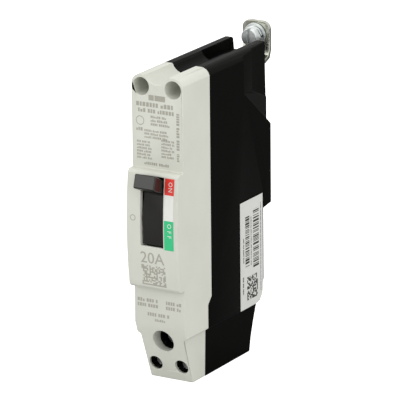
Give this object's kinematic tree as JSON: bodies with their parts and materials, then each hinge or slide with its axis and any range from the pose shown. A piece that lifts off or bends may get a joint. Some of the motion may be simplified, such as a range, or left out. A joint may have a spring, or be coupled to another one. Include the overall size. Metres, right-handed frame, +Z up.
{
  "type": "circuit breaker",
  "caption": "Narrow moulded-case circuit breaker with a toggle handle, a bolt-on line strap at the top rear and a box lug for the load wire at the foot.",
  "frame": {"origin": "middle of the line strap's rear seating face, 4.6 mm below the centre of its screw", "axes": "+Z up towards the line end, +Y out of the back towards the bus bar, +X to the right seen from the front"},
  "size_m": [0.0255, 0.1052, 0.145],
  "materials": {
    "cover": "light warm grey moulding, fine satin texture",
    "base": "black moulding, fine satin texture",
    "handle": "black moulding, slight sheen",
    "steel": "plain pressed steel",
    "position_label": "printed film, red over white over green",
    "rating_label": "matt white printed sticker",
    "zinc": "bright zinc plate",
    "tin": "tin-plated copper, soft sheen",
    "copper": null,
    "silver": "silver alloy contact",
    "spring": "drawn spring wire",
    "fibre": "red-brown vulcanised fibre",
    "alloy": "plain aluminium alloy and bimetal"
  },
  "bodies": {
    "housing": {"cover": "cover", "base": "base", "handle_pin": "steel", "position_label": "position_label", "rating_label": "rating_label", "case_screw_line_left": "zinc", "case_screw_line_right": "zinc", "case_screw_load_left": "zinc", "case_screw_load_right": "zinc", "line_terminal": "tin", "fixed_contact": "silver", "contact_arm_pin": "steel", "arc_plate_1": "steel", "arc_plate_2": "steel", "arc_plate_3": "steel", "arc_plate_4": "steel", "arc_side_plate_left": "fibre", "arc_side_plate_right": "fibre", "mechanism_frame": "steel", "cradle_pin": "steel", "bimetal": "alloy", "magnet_yoke": "steel", "armature_pin": "steel", "calibration_screw": "zinc", "flexible_braid": "copper", "load_terminal": "copper", "load_lug": "alloy"},
    "handle": {"handle": "handle"},
    "contact_arm": {"contact_arm": "copper", "moving_contact": "silver"},
    "cradle": {"cradle": "steel"},
    "toggle_springs": {"toggle_spring_left": "spring", "toggle_spring_right": "spring"},
    "armature": {"armature": "steel"},
    "lug_screw": {"lug_screw": "zinc"},
    "line_screw": {"line_screw": "zinc", "line_lock_washer": "zinc", "line_flat_washer": "zinc"}
  },
  "joints": [
    {"name": "handle_swing", "type": "hinge", "parent": "housing", "child": "handle", "pos_m": [0, -0.0755, -0.0545], "axis": [1, 0, 0], "range_deg": [0, 62]},
    {"name": "contact_swing", "type": "hinge", "parent": "housing", "child": "contact_arm", "pos_m": [0, -0.0555, -0.055], "axis": [1, 0, 0], "range_deg": [0, 16]},
    {"name": "cradle_trip", "type": "hinge", "parent": "housing", "child": "cradle", "pos_m": [0, -0.0575, -0.074], "axis": [1, 0, 0], "range_deg": [0, 12]},
    {"name": "spring_swing", "type": "hinge", "parent": "cradle", "child": "toggle_springs", "pos_m": [0, -0.0435, -0.066], "axis": [1, 0, 0], "range_deg": [0, 8]},
    {"name": "armature_pull", "type": "hinge", "parent": "housing", "child": "armature", "pos_m": [0, -0.032, -0.093], "axis": [1, 0, 0], "range_deg": [-4, 0], "stiffness_Nm_per_rad": 0.05, "springref_deg": 2.86},
    {"name": "lug_screw_travel", "type": "slide", "parent": "housing", "child": "lug_screw", "axis": [0, 1, 0], "range_m": [0, 0.006]},
    {"name": "line_screw_travel", "type": "slide", "parent": "housing", "child": "line_screw", "axis": [0, 1, 0], "range_m": [-0.0022, 0]}
  ],
  "couplings": [
    {"joint": "contact_swing", "follows": "handle_swing", "ratio": 0.25},
    {"joint": "spring_swing", "follows": "handle_swing", "ratio": 0.118}
  ]
}
